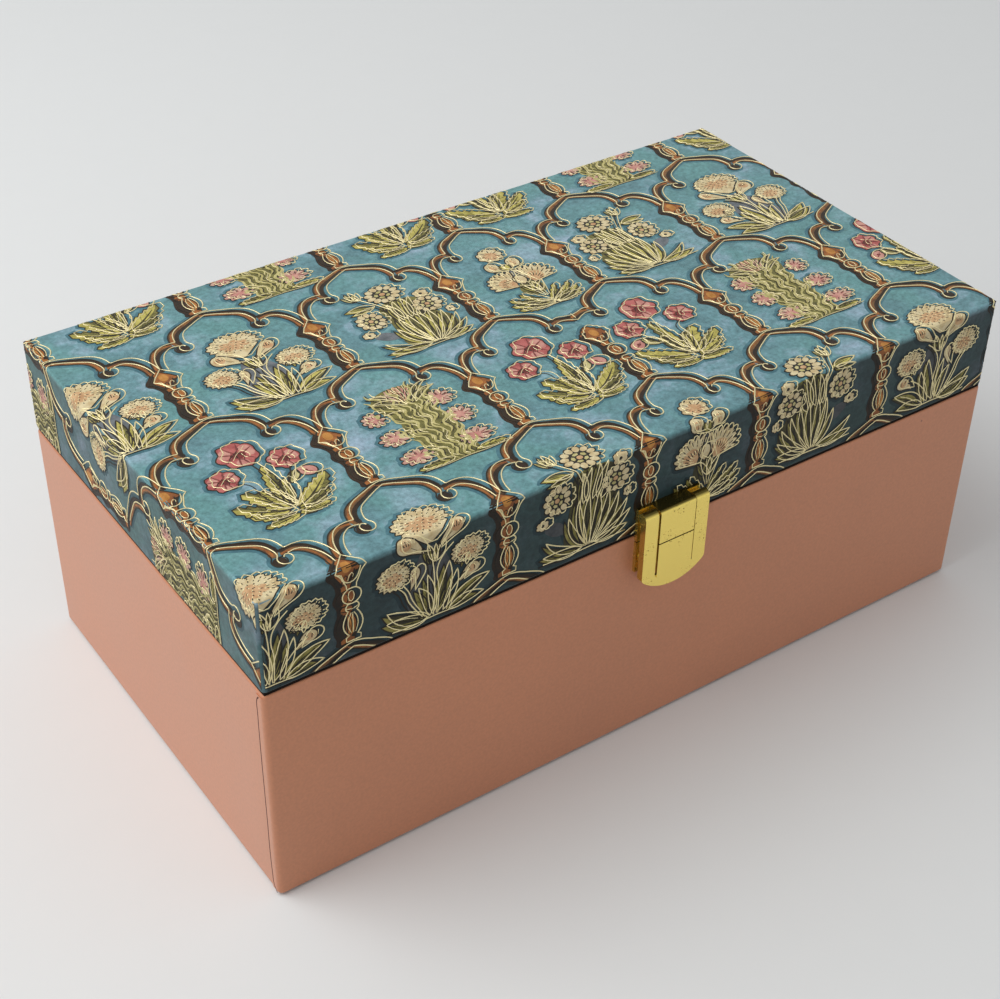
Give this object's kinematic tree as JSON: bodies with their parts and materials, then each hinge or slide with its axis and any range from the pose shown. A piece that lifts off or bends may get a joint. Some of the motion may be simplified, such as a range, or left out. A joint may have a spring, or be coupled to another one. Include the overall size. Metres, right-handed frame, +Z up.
{
  "type": "two-jar gift box",
  "caption": "Hinged rectangular gift box with a patterned lid, a sprung front latch flap, and a raised tray that holds round screw-cap jars upright.",
  "frame": {"origin": "centre of the underside, on the surface that the box stands on", "axes": "+X along the length, from the left end to the right end seen from the latch; +Y from the latch to the hinges; +Z up"},
  "size_m": [0.2543, 0.1515, 0.1055],
  "materials": {
    "copper_leatherette": "satin pearl",
    "teal_leatherette": "satin, foil printed",
    "underside_paper": "matte",
    "velvet_lining": "short pile",
    "rim_felt": "dull felt",
    "fibreboard": "raw",
    "greyboard": "raw",
    "brass_plated_steel": "bright plated",
    "jar_glass": "clear",
    "gold_tinplate": "gloss lacquer",
    "foam_liner": "matte foam"
  },
  "bodies": {
    "base": {"base_back_board": "fibreboard", "base_cover": "copper_leatherette", "base_floor_board": "fibreboard", "base_front_board": "fibreboard", "base_left_board": "fibreboard", "base_lining": "velvet_lining", "base_right_board": "fibreboard", "base_rim_strip": "rim_felt", "hinge_left_base_leaf": "brass_plated_steel", "hinge_left_pin": "brass_plated_steel", "hinge_nails_base": "brass_plated_steel", "hinge_right_base_leaf": "brass_plated_steel", "hinge_right_pin": "brass_plated_steel", "latch_base_plate": "brass_plated_steel", "latch_nails_base": "brass_plated_steel", "underside_sheet": "underside_paper"},
    "lid": {"lid_front_board": "fibreboard", "lid_back_board": "fibreboard", "lid_left_board": "fibreboard", "lid_right_board": "fibreboard", "lid_top_board": "fibreboard", "lid_cover": "teal_leatherette", "lid_lining": "velvet_lining", "hinge_left_lid_leaf": "brass_plated_steel", "hinge_right_lid_leaf": "brass_plated_steel", "hinge_nails_lid": "brass_plated_steel", "latch_lid_plate": "brass_plated_steel", "latch_pin": "brass_plated_steel", "latch_nails_lid": "brass_plated_steel"},
    "flap": {"latch_flap": "brass_plated_steel"},
    "tray": {"tray_back_leg": "greyboard", "tray_cover": "velvet_lining", "tray_deck": "greyboard", "tray_divider": "greyboard", "tray_front_leg": "greyboard", "tray_left_leg": "greyboard", "tray_right_leg": "greyboard"},
    "jar_left": {"jar_left_glass": "jar_glass"},
    "jar_left_liner": {"jar_left_liner": "foam_liner"},
    "jar_left_cap": {"jar_left_cap": "gold_tinplate"},
    "jar_right": {"jar_right_glass": "jar_glass"},
    "jar_right_liner": {"jar_right_liner": "foam_liner"},
    "jar_right_cap": {"jar_right_cap": "gold_tinplate"}
  },
  "joints": [
    {"name": "lid_hinge", "type": "hinge", "parent": "base", "child": "lid", "pos_m": [0, 0.0716, 0.07515], "axis": [-1, 0, 0], "range_deg": [0, 105]},
    {"name": "latch_flap_hinge", "type": "hinge", "parent": "lid", "child": "flap", "pos_m": [0.0011, -0.07325, 0.08275], "axis": [-1, 0, 0], "range_deg": [0, 170]},
    {"name": "tray_lift", "type": "slide", "parent": "base", "child": "tray", "axis": [0, 0, 1], "range_m": [0, 0.045]},
    {"name": "jar_left_lift", "type": "slide", "parent": "base", "child": "jar_left", "axis": [0, 0, 1], "range_m": [0, 0.0045]},
    {"name": "jar_left_cap_rise", "type": "slide", "parent": "jar_left", "child": "jar_left_liner", "axis": [0, 0, 1], "range_m": [0, 0.00375]},
    {"name": "jar_left_cap_turn", "type": "hinge", "parent": "jar_left_liner", "child": "jar_left_cap", "pos_m": [-0.06, 0, 0.091], "axis": [0, 0, 1], "range_deg": [0, 450]},
    {"name": "jar_right_lift", "type": "slide", "parent": "base", "child": "jar_right", "axis": [0, 0, 1], "range_m": [0, 0.0045]},
    {"name": "jar_right_cap_rise", "type": "slide", "parent": "jar_right", "child": "jar_right_liner", "axis": [0, 0, 1], "range_m": [0, 0.00375]},
    {"name": "jar_right_cap_turn", "type": "hinge", "parent": "jar_right_liner", "child": "jar_right_cap", "pos_m": [0.06, 0, 0.091], "axis": [0, 0, 1], "range_deg": [0, 450]}
  ],
  "couplings": [
    {"joint": "jar_left_cap_rise", "follows": "jar_left_cap_turn", "m_per_rad": 0.00047746},
    {"joint": "jar_right_cap_rise", "follows": "jar_right_cap_turn", "m_per_rad": 0.00047746}
  ]
}
